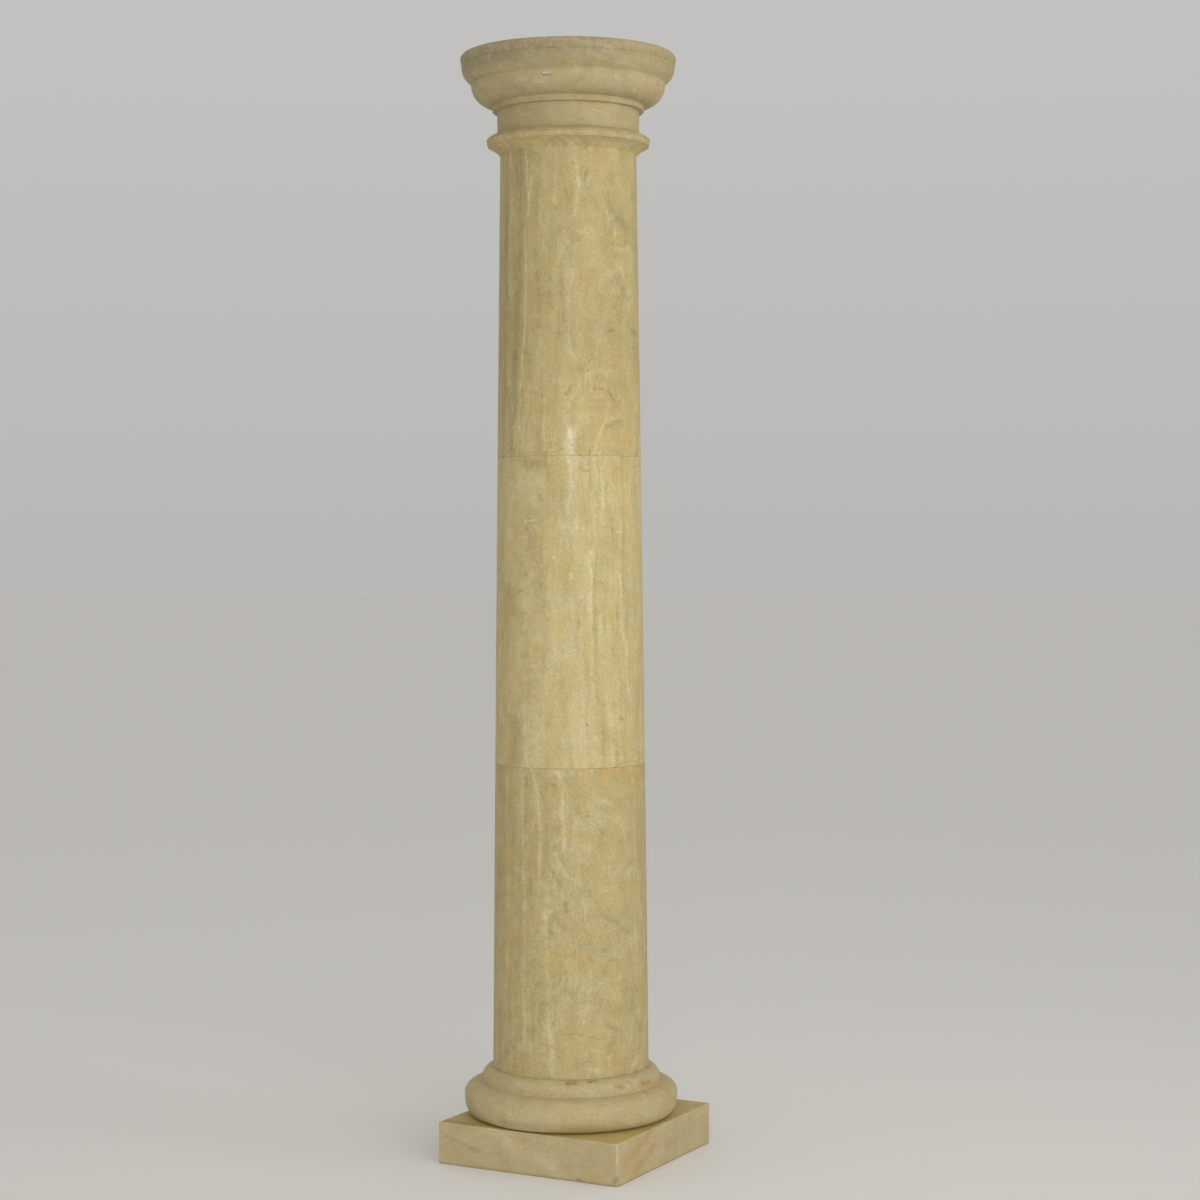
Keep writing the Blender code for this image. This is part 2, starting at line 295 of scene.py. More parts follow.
def plinth_mesh(flaws):
    """A slab on a grid of lines, rounded at its arrises by an amount that wanders with wear."""
    half = np.array([PLINTH_SIDE / 2, PLINTH_SIDE / 2, PLINTH_HEIGHT / 2])
    axes = [gradings(-size, size, GRID_STEP, (-size, size), GRID_REACH) for size in half]
    on_skin = np.zeros([len(axis) for axis in axes], bool)
    on_skin[[0, -1]] = True
    on_skin[:, [0, -1]] = True
    on_skin[:, :, [0, -1]] = True
    number = on_skin.ravel().cumsum().reshape(on_skin.shape) - 1
    steps = np.argwhere(on_skin)
    points = np.stack([axes[axis][steps[:, axis]] for axis in range(3)], 1)
    broad, broad_size = ARRIS_WEAR
    nicks, nick_size = ARRIS_NICKS
    wear = 1.0 + broad * ripple(points, broad_size)
    wear += nicks * np.maximum(ripple(points, nick_size, NICK_SEED) - NICK_FLOOR, 0.0)
    from_corner = points[:, :2] - np.array([1.0, -1.0]) * half[:2]
    corner = np.exp(-((from_corner ** 2).sum(1)) / CORNER_REACH ** 2)
    radius = (PLINTH_ARRIS * wear + CORNER_WEAR * corner)[:, None]
    inner = np.clip(points, -half + radius, half - radius)
    away = points - inner
    away /= np.maximum(np.linalg.norm(away, axis=1), 1e-9)[:, None]
    points = inner + away * radius + np.array([*PLINTH_OFFSET, half[2]])
    depth, tint = weathering_and_painted_light(points, flaws)
    # The slab is darker towards the bottom, over its lowest 8 mm.
    tint *= 1.0 - FOOT_DARKENING * np.clip(1.0 - points[:, 2:] / FOOT_DARKENING_HEIGHT, 0.0, 1.0)
    # The top arris is painted paler: a painted highlight along its rounding.
    on_arris = np.clip((1.0 - np.abs(away).max(1)) / ARRIS_HIGHLIGHT_FROM, 0.0, 1.0)
    arris_highlight = on_arris * (points[:, 2] > PLINTH_HEIGHT / 2)
    tint *= 1.0 + ARRIS_HIGHLIGHT * arris_highlight[:, None]
    # Painted shade: the top faces are tinted darker and yellower than the sides.
    tint[away[:, 2] > TOP_FACING] *= TOP_SHADE_TINT
    points -= away * depth[:, None]
    points[:, 2] = np.maximum(points[:, 2], 0.0)
    faces = []
    for axis in range(3):
        for end in (0, -1):
            grid = np.take(number, end, axis)
            quads = np.stack([grid[:-1, :-1], grid[1:, :-1], grid[1:, 1:], grid[:-1, 1:]], -1)
            quads = quads.reshape(-1, 4)
            outward = (end == -1) != (axis == 1)
            faces += (quads if outward else quads[:, ::-1]).tolist()
    return stone_skin("plinth", points, faces, tint)


plinth_flaws_and_painted_light = [
    # Painted shade: the first band darkens the top at the left front, under the torus.
    ([(-0.235, -0.235, 0.1055), (-0.150, -0.245, 0.1055)], 16, 0, "#8E7F52", 0.5),
    ([(-0.10, -0.257, 0.104), (-0.02, -0.257, 0.070), (0.09, -0.257, 0.030)], 19, 0, "#CFC299", 0.36),
    ([(-0.22, -0.257, 0.070), (-0.16, -0.257, 0.055), (-0.13, -0.257, 0.042)], 4, 0, SHADOW, 0.7),
    ([(-0.15, -0.257, 0.048), (-0.05, -0.257, 0.044)], 5, 0, "#A08653", 0.5),
    ([(0.01, -0.257, 0.086), (0.03, -0.257, 0.088)], 3.5, 0, "#8F7B50", 0.5),
    ([(0.12, -0.257, 0.030), (0.24, -0.257, 0.060)], 14, 0, SHADOW, 0.2),
    ([(0.16, -0.257, 0.006), (0.17, -0.257, 0.005)], 3, 0.5, "#7A6440", 0.7),
    ([(0.262, -0.257, 0.012), (0.271, -0.255, 0.018)], 8, 1.5, "#857B5A", 0.6),
    ([(0.2715, -0.22, 0.045), (0.2715, -0.14, 0.075), (0.2715, -0.08, 0.098)], 13, 0, "#B0894A", 0.42),
    ([(0.2715, -0.16, 0.022), (0.2715, -0.06, 0.060)], 11, 0, "#B0894A", 0.4),
    # Painted shade: the last band darkens the right face.
    ([(0.2715, 0.02, 0.050), (0.2715, 0.15, 0.060)], 20, 0, SHADOW, 0.2)]
set_in_place("plinth_slab", plinth_mesh(plinth_flaws_and_painted_light),
             travertine("honed_travertine_plinth", (-45.0, 78.0),
                        ("#A99970", "#BDAD84", "#CCBE95", "#BC9E64"),
                        stripes=0.20, cloudy=0.30, mottled=0.34, seed=4.0),
             "plinth")

# Base: a quarter round over a fat torus, turned from one block laid flat in its bed.
# It stands on the plinth, which it overhangs a little, and carries the shaft.
BASE_BED = 0.1055
SHAFT_FOOT = 0.2305
FOOT_RADIUS = 0.200
# The joints are drawn tight: 0.1 mm open, between arrises 0.2 mm wide.
BED_GAP = 0.0001
BED_ARRIS = 0.0002
TORUS_PROJECTION = 0.0735
TORUS_HEIGHT = 0.0855
TORUS_SHOULDER = 0.0295
TORUS_DEPTH = 0.043
TORUS_FOOT_DEPTH = 0.038
TORUS_FOOT_FULLNESS = 2.6
RING_PROJECTION = 0.0293
RING_SEAT = 0.0025
RING_ROUNDING = 0.0075
RING_FILLET = 0.006
BASE_GROOVE = 0.0022
BOW_STEPS = 10
OVAL_STEPS = 14
BED_RINGS = (0.04, 0.25, 0.5, 0.75, 0.93)
ROW_STEP = 0.0075
# The picture looks at the column on this bearing, in degrees from +X. Columns of points stand
# closer together on the side that it shows, where the flaws are.
FRONT_BEARING = -61.0
SEEN_HALF = 80.0
SEEN_TURN = 0.5
UNSEEN_TURN = 3.0
COURSE_TURN = 3.0
COURSE_RISE = 0.03
SIDE_SHARE = 0.95
CHIP_DEPTH = 0.0013
CHIP_SIZE = 0.014
CHIP_REACH = 0.0018
CHIP_FLOOR = 0.18
CHIP_MOST = 0.4
CHIP_SEED = 5.0
RUB_DEPTH = 0.00010
RUB_SIZE = 0.045
BED_SOIL = 0.02
CHIP_SOIL = 0.4
SOIL_PATCHES = (0.05, 0.03)
SOIL_SEED = 7.0
SOIL_MOST = 0.6
SOIL_TINT = (0.9, 1.0, 1.1)


def bow(start, end, rise):
    """Points on the arc from start to end that stands off its chord by rise, outward if positive."""
    run_r = end[0] - start[0]
    run_z = end[1] - start[1]
    chord = math.hypot(run_r, run_z)
    radius = (chord * chord / 4 + rise * rise) / (2 * abs(rise))
    half = math.asin(chord / (2 * radius))
    points = []
    for step in range(BOW_STEPS + 1):
        angle = half * (2 * step / BOW_STEPS - 1)
        along = radius * math.sin(angle)
        off = math.copysign(radius * math.cos(angle) - (radius - abs(rise)), rise)
        points.append(((start[0] + end[0]) / 2 + (along * run_r - off * run_z) / chord,
                       (start[1] + end[1]) / 2 + (along * run_z + off * run_r) / chord))
    return points


def oval(centre, width, height, first, last, fullness=2.0):
    """Points round an ellipse between two angles in degrees, squarer as fullness rises above 2."""
    points = []
    for step in range(OVAL_STEPS + 1):
        angle = math.radians(first + (last - first) * step / OVAL_STEPS)
        across = max(math.cos(angle), 0.0) ** (2 / fullness)
        up = math.copysign(abs(math.sin(angle)) ** (2 / fullness), math.sin(angle))
        points.append((centre[0] + width * across, centre[1] + height * up))
    return points


def close_beds(profile):
    """The profile with its two flat beds added, and long stretches cut into short rows."""
    top, bottom = profile[0], profile[-1]
    outline = [(share * top[0], top[1]) for share in BED_RINGS] + profile
    outline += [(share * bottom[0], bottom[1]) for share in BED_RINGS[::-1]]
    rows = [outline[0]]
    for before, after in zip(outline, outline[1:]):
        length = math.hypot(after[0] - before[0], after[1] - before[1])
        count = 1 if before[1] == after[1] else max(1, math.ceil(length / ROW_STEP))
        for step in range(1, count + 1):
            rows.append((before[0] + (after[0] - before[0]) * step / count,
                         before[1] + (after[1] - before[1]) * step / count))
    return np.array(rows)


def on_face(course, profile):
    """Points on the turned face under a course of (degrees right of the front, height)."""
    heights = [level for _, level in profile][::-1]
    radii = [radius for radius, _ in profile][::-1]
    points = []
    for (turn, level), (next_turn, next_level) in zip(course, course[1:]):
        count = max(1, math.ceil(abs(next_turn - turn) / COURSE_TURN),
                    math.ceil(abs(next_level - level) / COURSE_RISE))
        for step in range(count + 1):
            share = step / count
            bearing = math.radians(FRONT_BEARING + turn + (next_turn - turn) * share)
            height = level + (next_level - level) * share
            radius = np.interp(height, heights, radii)
            points.append((radius * math.cos(bearing), radius * math.sin(bearing), height))
    return points


def turned_mesh(name, profile, flaws, seed):
    """Sweep a profile round the axis, then wear its arrises and cut its flaws."""
    rows = close_beds(profile)
    run = np.gradient(rows, axis=0)
    facing = np.stack([-run[:, 1], run[:, 0]], 1)
    facing /= np.linalg.norm(facing, axis=1)[:, None]
    seen = np.arange(-SEEN_HALF, SEEN_HALF, SEEN_TURN)
    unseen = np.arange(SEEN_HALF, 360.0 - SEEN_HALF, UNSEEN_TURN)
    bearings = np.radians(FRONT_BEARING + np.concatenate([seen, unseen]))
    radius, height = [rows[:, axis, None] for axis in range(2)]
    cosine, sine = np.cos(bearings), np.sin(bearings)
    points = np.stack([radius * cosine, radius * sine, height + 0 * cosine], -1).reshape(-1, 3)
    normals = np.stack([facing[:, :1] * cosine, facing[:, :1] * sine, facing[:, 1:] + 0 * cosine],
                       -1).reshape(-1, 3)
    from_axis = np.repeat(rows[:, 0], len(bearings))
    edge = np.minimum(profile[0][1] - points[:, 2], points[:, 2] - profile[-1][1])
    on_side = (from_axis > SIDE_SHARE * min(profile[0][0], profile[-1][0])).astype(float)
    near_bed = on_side * np.exp(-np.maximum(edge, 0.0) / CHIP_REACH)
    chipped = np.clip(ripple(points, CHIP_SIZE, seed + CHIP_SEED) - CHIP_FLOOR, 0.0, CHIP_MOST)
    placed = [(on_face(flaw[0], profile), *flaw[1:]) for flaw in flaws]
    depth, tint = weathering_and_painted_light(points, placed, seed)
    depth += RUB_DEPTH * (1.0 + ripple(points, RUB_SIZE, seed)) + CHIP_DEPTH * near_bed * chipped
    patchy, patch_size = SOIL_PATCHES
    patches = ripple(points, patch_size, seed + SOIL_SEED)
    soiled = near_bed * (BED_SOIL + CHIP_SOIL * chipped + patchy * patches)
    tint *= 1.0 - np.clip(soiled, 0.0, SOIL_MOST)[:, None] * np.array(SOIL_TINT)
    points -= normals * depth[:, None]
    points[:, 2] = np.clip(points[:, 2], profile[-1][1], profile[0][1])
    rings = np.arange(len(points)).reshape(len(rows), len(bearings))
    after = np.roll(rings, -1, axis=1)
    faces = np.stack([rings[:-1], rings[1:], after[1:], after[:-1]], -1).reshape(-1, 4).tolist()
    faces.append(rings[0].tolist())
    faces.append(rings[-1][::-1].tolist())
    return stone_skin(name, points, faces, tint)


def base_profile():
    """The quarter round and the torus, from the shaft's bed down to the plinth's."""
    bottom = BASE_BED + BED_GAP
    ring_radius = FOOT_RADIUS + RING_PROJECTION
    ring_foot = bottom + TORUS_HEIGHT
    torus_radius = FOOT_RADIUS + TORUS_PROJECTION
    torus_middle = ring_foot - TORUS_SHOULDER
    points = bow((FOOT_RADIUS + RING_SEAT, SHAFT_FOOT), (ring_radius, ring_foot + RING_FILLET),
                 RING_ROUNDING)
    points.append((ring_radius, ring_foot + BASE_GROOVE))
    points += oval((torus_radius - TORUS_DEPTH, torus_middle), TORUS_DEPTH, TORUS_SHOULDER, 90, 0)
    under = oval((torus_radius - TORUS_FOOT_DEPTH, torus_middle), TORUS_FOOT_DEPTH,
                 torus_middle - bottom, 0, -90, TORUS_FOOT_FULLNESS)
    return points + under[1:]


base_flaws = [
    ([(-2, 0.2245), (3, 0.2255)], 6, 0, "#8F6F3C", 0.8),
    ([(12, 0.2275), (17, 0.228)], 5, 0, "#8F6F3C", 0.7),
    ([(30, 0.2115), (36, 0.2085)], 6, 0, "#8A6A3A", 0.55),
    ([(38, 0.2155), (42, 0.2165)], 4, 0, "#8A6A3A", 0.3),
    ([(46, 0.2245), (50, 0.2265)], 5, 0, "#8A6A3A", 0.45),
    ([(50, 0.2095), (60, 0.2055)], 6, 0, "#7F6238", 0.45),
    ([(-84, 0.2025), (-78, 0.2005)], 4, 0.3, "#8F7445", 0.4),
    ([(-30, 0.1895), (10, 0.1925)], 2.2, 0, "#A08A58", 0.35),
    ([(-60, 0.150), (-20, 0.158), (20, 0.150)], 14, 0, VEIN, 0.3),
    ([(-40, 0.128), (10, 0.126)], 9, 0, SHADOW, 0.35)]
set_in_place("base_block", turned_mesh("base", base_profile(), base_flaws, 1.0),
             travertine("honed_travertine_base", (20.0, 84.0),
                        ("#A4936A", "#BBAB7F", "#CCBE91", "#BD9F60"),
                        stripes=0.18, cloudy=0.26, mottled=0.36, seed=7.0),
             "base")

# Lower drum: the foot of the shaft, one turned block of travertine on a tight bed joint.
# Two pale veins wander up the side that the picture shows, with grey shadows beside them.
FIRST_JOINT = 1.008
SECOND_JOINT = 1.789
BEAD_FOOT = 2.557
HEAD_RADIUS = 0.1737
ENTASIS = 0.0011
DRUM_ROW = 0.007
CLOSE_ROW = 0.0026
CLOSE_REACH = 0.0039
SMALL_FLAW = 5
LEVEL_COURSE = 0.02
PIT = "#5A4A30"
IRON = "#9A7742"
WARM = "#BE9C5C"


def shaft_radius(z):
    """Radius of the tapering shaft at height z, with its swelling greatest halfway up."""
    rise = (z - SHAFT_FOOT) / (BEAD_FOOT - SHAFT_FOOT)
    return FOOT_RADIUS + (HEAD_RADIUS - FOOT_RADIUS) * rise + 4 * ENTASIS * rise * (1 - rise)


def drum_side(top, bottom, flaws):
    """The shaft's face between two heights, with close rows at its beds and at small flaws."""
    high = top - BED_ARRIS
    low = bottom + BED_ARRIS
    close = [low, high]
    for course, half_width, *_ in flaws:
        ends = (course[0][1], course[-1][1])
        if half_width <= SMALL_FLAW and abs(ends[0] - ends[1]) < LEVEL_COURSE:
            close += ends
    places = gradings(low, high, DRUM_ROW, close, CLOSE_REACH, CLOSE_ROW)
    points = [(shaft_radius(top) - BED_ARRIS, top)]
    points += [(shaft_radius(z), z) for z in places[::-1]]
    points.append((shaft_radius(bottom) - BED_ARRIS, bottom))
    return points


lower_flaws = [
    ([(-30, 1.005), (-26, 0.965), (-24, 0.910), (-22.5, 0.860), (-23, 0.800), (-24, 0.740)],
      6, 0, VEIN, 0.7),
    ([(-11, 1.003), (-7, 0.980), (-4, 0.968), (-5.5, 0.940), (-6, 0.900), (-5, 0.860), (-5, 0.820),
      (-7, 0.800)], 6.5, 0, VEIN, 0.65),
    ([(-11, 0.800), (-8, 0.775), (-5, 0.750), (0, 0.735), (6, 0.725), (12, 0.700)], 4.4, 0, VEIN, 0.5),
    ([(-14, 0.655), (-18, 0.640), (-19, 0.600), (-17, 0.560), (-17, 0.400), (-16, 0.350), (-14, 0.300),
      (-14, 0.250)], 9, 0, VEIN, 0.6),
    ([(-38, 0.990), (-39, 0.950), (-38, 0.880), (-37, 0.760), (-36, 0.550), (-36, 0.460), (-37, 0.300)],
      5, 0, VEIN, 0.42),
    ([(-55, 0.980), (-54, 0.570), (-54, 0.300)], 3.5, 0, VEIN, 0.35),
    ([(57, 0.861), (57, 0.765), (56, 0.460)], 3, 0, VEIN, 0.35),
    ([(12, 0.995), (-15, 1.000)], 9, 0, VEIN, 0.3), ([(45, 0.735), (50, 0.740)], 9, 0, VEIN, 0.35),
    ([(22, 0.700), (35, 0.700)], 7, 0, VEIN, 0.35), ([(22, 0.470), (25, 0.480)], 7, 0, VEIN, 0.35),
    ([(30, 0.450), (35, 0.430)], 7, 0, VEIN, 0.35), ([(11, 0.410), (15, 0.410)], 8, 0, VEIN, 0.4),
    ([(54, 0.430), (57, 0.400), (62, 0.380)], 4, 0, VEIN, 0.6),
    ([(53, 0.255), (57, 0.265)], 8, 0, VEIN, 0.35),
    ([(13, 0.260), (20, 0.250), (38, 0.245)], 7, 0, VEIN, 0.35),
    ([(-16, 0.973), (-11, 0.965)], 4.5, 0, SHADOW, 0.6),
    ([(-23, 0.950), (-19, 0.925)], 4.5, 0, SHADOW, 0.5),
    ([(-36, 0.910), (-35, 0.870)], 5, 0, SHADOW, 0.45),
    ([(-35, 0.816), (-35, 0.804)], 5, 0, SHADOW, 0.45),
    ([(-48, 0.846), (-48, 0.834)], 5, 0, SHADOW, 0.45),
    ([(-18, 0.870), (-17, 0.820), (-18, 0.780)], 5, 0, SHADOW, 0.4),
    ([(-15, 0.760), (-12, 0.745)], 6, 0, SHADOW, 0.75),
    ([(-10, 0.735), (-7, 0.715)], 5, 0, SHADOW, 0.55), ([(-3, 0.675), (-3, 0.650)], 6, 0, SHADOW, 0.7),
    ([(-12, 0.635), (-8, 0.620), (0, 0.605)], 8, 0, SHADOW, 0.5),
    ([(-14, 0.600), (-11, 0.585)], 5, 0, SHADOW, 0.45),
    ([(-31, 0.730), (-30, 0.690)], 5, 0, SHADOW, 0.45),
    ([(-43, 0.740), (-41, 0.720)], 4, 0, SHADOW, 0.5),
    ([(-26, 0.600), (-27, 0.585)], 4, 0, SHADOW, 0.5),
    ([(-29, 0.530), (-28, 0.510)], 4.5, 0, SHADOW, 0.45),
    ([(-8, 0.490), (-7, 0.480)], 4, 0, SHADOW, 0.45),
    ([(-24, 0.470), (-26, 0.455)], 4.5, 0, SHADOW, 0.5),
    ([(-34, 0.460), (-36, 0.440)], 4.5, 0, SHADOW, 0.45),
    ([(-44, 0.500), (-41, 0.470)], 5, 0, SHADOW, 0.45),
    ([(-11, 0.436), (-11, 0.424)], 5, 0, SHADOW, 0.4),
    ([(-22, 0.400), (-24, 0.370)], 6, 0, SHADOW, 0.45),
    ([(23, 0.640), (30, 0.630), (40, 0.610), (48, 0.590)], 7, 0, SHADOW, 0.5),
    ([(30, 0.525), (36, 0.525)], 6, 0, SHADOW, 0.5), ([(42, 0.475), (38, 0.460)], 6, 0, SHADOW, 0.45),
    ([(28, 0.360), (37, 0.350)], 9, 0, SHADOW, 0.45),
    ([(57, 0.360), (62, 0.350), (60, 0.330)], 5, 0, SHADOW, 0.6),
    ([(28, 1.000), (72, 0.975)], 16, 0, WARM, 0.5), ([(8, 0.988), (26, 0.985)], 17, 0, WARM, 0.4),
    ([(-5, 0.345), (3, 0.346), (8, 0.342)], 3.2, 0.2, IRON, 0.36),
    ([(12, 0.335), (26, 0.330)], 2.4, 0, IRON, 0.33),
    ([(12, 0.550), (15, 0.530), (17, 0.520)], 2.2, 0, IRON, 0.39),
    ([(-80, 1.0072), (80, 1.0072)], 1.2, 0, IRON, 0.15),
    ([(12, 0.893), (14, 0.892)], 1.6, 0.3, PIT, 0.35),
    ([(22, 0.855), (25, 0.845)], 2.6, 0.4, PIT, 0.35),
    ([(31, 0.792), (32, 0.786)], 2.6, 0.4, PIT, 0.35), ([(20, 0.740), (21, 0.738)], 2, 0.4, PIT, 0.44),
    ([(-37, 0.917), (-35, 0.914)], 2, 0.2, PIT, 0.26), ([(18, 0.870), (19, 0.868)], 2, 0.3, PIT, 0.35)]
lower_profile = drum_side(FIRST_JOINT - BED_GAP, SHAFT_FOOT + BED_GAP, lower_flaws)
set_in_place("lower_drum_block", turned_mesh("lower_drum", lower_profile, lower_flaws, 2.0),
             travertine("honed_travertine_lower_drum", (-19.0, 0.0),
                        ("#A39363", "#BAAA78", "#CABC8C", "#BDA161"), seed=1.0),
             "lower_drum")

# Middle drum: the second block of the shaft, of the same stone turned a quarter round, so that its
# stripes show on the right. A chipped corner at its head was made good with a tan filler.
FILLER = "#9C8759"
middle_flaws_and_painted_light = [
    ([(-36, 1.770), (-23, 1.771)], 20, 0, FILLER, 0.66),
    ([(-77, 1.7875), (-52, 1.788)], 1.6, 0.8, PIT, 1),
    ([(-54, 1.786), (-44, 1.777), (-52, 1.772)], 1.2, 0.3, PIT, 0.53),
    ([(-24, 1.690), (-22, 1.675)], 5, 0, SHADOW, 0.6),
    ([(-38, 1.660), (-38, 1.640), (-34, 1.630)], 1.8, 0.2, PIT, 0.28),
    ([(-37, 1.628), (-27, 1.628)], 2, 0.2, "#E4DAB8", 0.45),
    ([(-35, 1.6235), (-28, 1.6235)], 1.6, 0.3, PIT, 0.28),
    # Painted highlight: this whitish streak near the front is the sheen of a lamp.
    ([(0, 1.785), (1, 1.740), (1, 1.710), (0, 1.660), (0, 1.600)], 12, 0, "#DCD8C4", 0.2),
    ([(5, 1.780), (6, 1.750), (6, 1.720)], 3, 0, VEIN, 0.6),
    ([(9, 1.670), (10, 1.650)], 3, 0, VEIN, 0.5), ([(5, 1.610), (10, 1.605)], 2.6, 0, "#E4DAB8", 0.2),
    ([(8, 1.760), (12, 1.750), (16, 1.750)], 3.2, 0.3, IRON, 0.45),
    ([(16, 1.785), (16, 1.700), (15, 1.670)], 4, 0, IRON, 0.26),
    ([(22, 1.700), (22, 1.670)], 3.2, 0, SHADOW, 0.6),
    ([(26, 1.760), (26, 1.720), (27, 1.700), (26, 1.620)], 6, 0, VEIN, 0.6),
    ([(30, 1.730), (31, 1.715)], 3.2, 0.3, PIT, 0.32), ([(36, 1.760), (42, 1.755)], 3, 0.3, IRON, 0.4),
    ([(60, 1.760), (68, 1.765)], 3, 0.3, IRON, 0.4), ([(35, 1.610), (36, 1.595)], 3, 0.4, PIT, 0.42),
    ([(38, 1.600), (44, 1.600)], 2.4, 0, "#E4DAB8", 0.25),
    ([(47, 1.770), (48, 1.600), (46, 1.450)], 4, 0, IRON, 0.16),
    ([(56, 1.770), (56, 1.640)], 3, 0, VEIN, 0.4),
    ([(58, 1.660), (60, 1.585), (62, 1.500)], 3, 0, VEIN, 0.4),
    ([(16, 1.550), (15, 1.520), (17, 1.490), (17, 1.450), (16, 1.420), (16, 1.370), (17, 1.300),
      (18, 1.240)], 6, 0, VEIN, 0.5),
    ([(17, 1.530), (19, 1.470), (19, 1.420), (20, 1.350), (20, 1.300), (21, 1.220), (22, 1.170)],
      4.4, 0, SHADOW, 0.45),
    ([(43, 1.490), (44, 1.455), (43, 1.420), (44, 1.390), (43, 1.360), (46, 1.335), (49, 1.325),
      (50, 1.300), (49, 1.270), (50, 1.230), (53, 1.170)], 6, 0, VEIN, 0.6),
    ([(47, 1.470), (49, 1.450)], 3.2, 0, SHADOW, 0.6),
    ([(50, 1.376), (50, 1.364)], 3.2, 0, SHADOW, 0.6), ([(54, 1.296), (54, 1.284)], 3, 0, SHADOW, 0.6),
    ([(43, 1.260), (44, 1.200), (45, 1.180)], 3, 0, SHADOW, 0.5),
    ([(39, 1.396), (39, 1.384)], 3, 0, SHADOW, 0.7), ([(34, 1.308), (34, 1.302)], 2.6, 0.3, PIT, 0.35),
    ([(26, 1.470), (24, 1.475)], 3, 0, IRON, 0.45), ([(42, 1.130), (45, 1.128)], 3.4, 0.4, IRON, 0.5),
    ([(12, 1.120), (14, 1.113)], 3, 0, SHADOW, 0.7), ([(19, 1.098), (21, 1.095)], 2.6, 0.3, IRON, 0.4),
    ([(9, 1.430), (7, 1.420)], 3, 0, SHADOW, 0.55), ([(8, 1.380), (8, 1.360)], 3, 0, SHADOW, 0.5),
    ([(-13, 1.535), (-12, 1.535)], 2.4, 0, "#E4DAB8", 0.5),
    # Painted highlight: a whitish spot in the same sheen.
    ([(1, 1.492), (1, 1.484)], 5, 0, "#DCD8C4", 0.35),
    ([(2, 1.385), (3, 1.385)], 2.4, 0, "#E4DAB8", 0.25),
    ([(3, 1.304), (3.5, 1.302)], 2.8, 0, "#E4DAB8", 0.35),
    ([(5, 1.272), (5, 1.268)], 2.4, 0, "#E4DAB8", 0.2),
    ([(-45, 1.447), (-39, 1.452)], 2.6, 0.6, PIT, 0.55),
    ([(-36, 1.500), (-35, 1.490)], 3.4, 0, IRON, 0.52),
    ([(-38, 1.395), (-34, 1.393)], 3.6, 0.3, IRON, 0.34),
    ([(-39, 1.290), (-35, 1.290)], 8, 0, SHADOW, 0.45),
    ([(-36, 1.260), (-28, 1.265), (-25, 1.250), (-23, 1.235)], 2.4, 0, VEIN, 0.6),
    ([(-46, 1.130), (-46, 1.020)], 18, 0, SHADOW, 0.4), ([(-37, 1.115), (-37, 1.095)], 5, 0, VEIN, 0.5),
    ([(-42, 1.148), (-42, 1.132)], 5, 0, VEIN, 0.45), ([(-36, 1.060), (-34, 1.020)], 5, 0, VEIN, 0.45),
    ([(36, 1.035), (42, 1.033), (46, 1.033)], 3, 0.2, "#E4DAB8", 0.23),
    ([(38, 1.015), (50, 1.020)], 2.6, 0.3, IRON, 0.4), ([(55, 1.050), (59, 1.050)], 3, 0.2, IRON, 0.35),
    ([(16, 1.020), (20, 1.020)], 4, 0, WARM, 0.5),
    ([(53, 1.024), (64, 1.027)], 2.6, 0.2, "#E4DAB8", 0.2)]
middle_profile = drum_side(SECOND_JOINT - BED_GAP, FIRST_JOINT, middle_flaws_and_painted_light)
set_in_place("middle_drum_block", turned_mesh("middle_drum", middle_profile, middle_flaws_and_painted_light, 3.0),
             travertine("honed_travertine_middle_drum", (-109.0, 0.0),
                        ("#AD9C6A", "#C5B583", "#D5C796", "#C8AB66"),
                        stripes=0.60, cloudy=0.36, mottled=0.50, seed=2.0),
             "middle_drum")

# Upper drum: the last block of the shaft, with the lower half of the necking bead on its head.
# A thin vein parts a darker strip on its left, and pits have opened near its foot.
CAPITAL_BED = 2.593
BEAD_RADIUS = 0.2085
BEAD_FILLET = 0.0125
BEAD_QUIRK = 0.0022
BEAD_COVE = 0.0030
BEAD_SWELL = 0.0005
BEAD_STEP = 0.0080
HOLLOW_RISE = 0.0016


def upper_drum_profile(flaws):
    """The lower half of the necking bead, its hollow below, and the shaft down to the joint."""
    top = CAPITAL_BED - BED_GAP
    fillet_foot = top - BEAD_FILLET
    points = [(BEAD_RADIUS - BED_ARRIS, top)]
    points += bow((BEAD_RADIUS, top - BED_ARRIS), (BEAD_RADIUS - BEAD_COVE, fillet_foot), BEAD_SWELL)
    points += bow((BEAD_RADIUS - BEAD_STEP, fillet_foot - BEAD_QUIRK),
                  (shaft_radius(BEAD_FOOT), BEAD_FOOT), -HOLLOW_RISE)
    return points + drum_side(BEAD_FOOT, SECOND_JOINT, flaws)[2:]


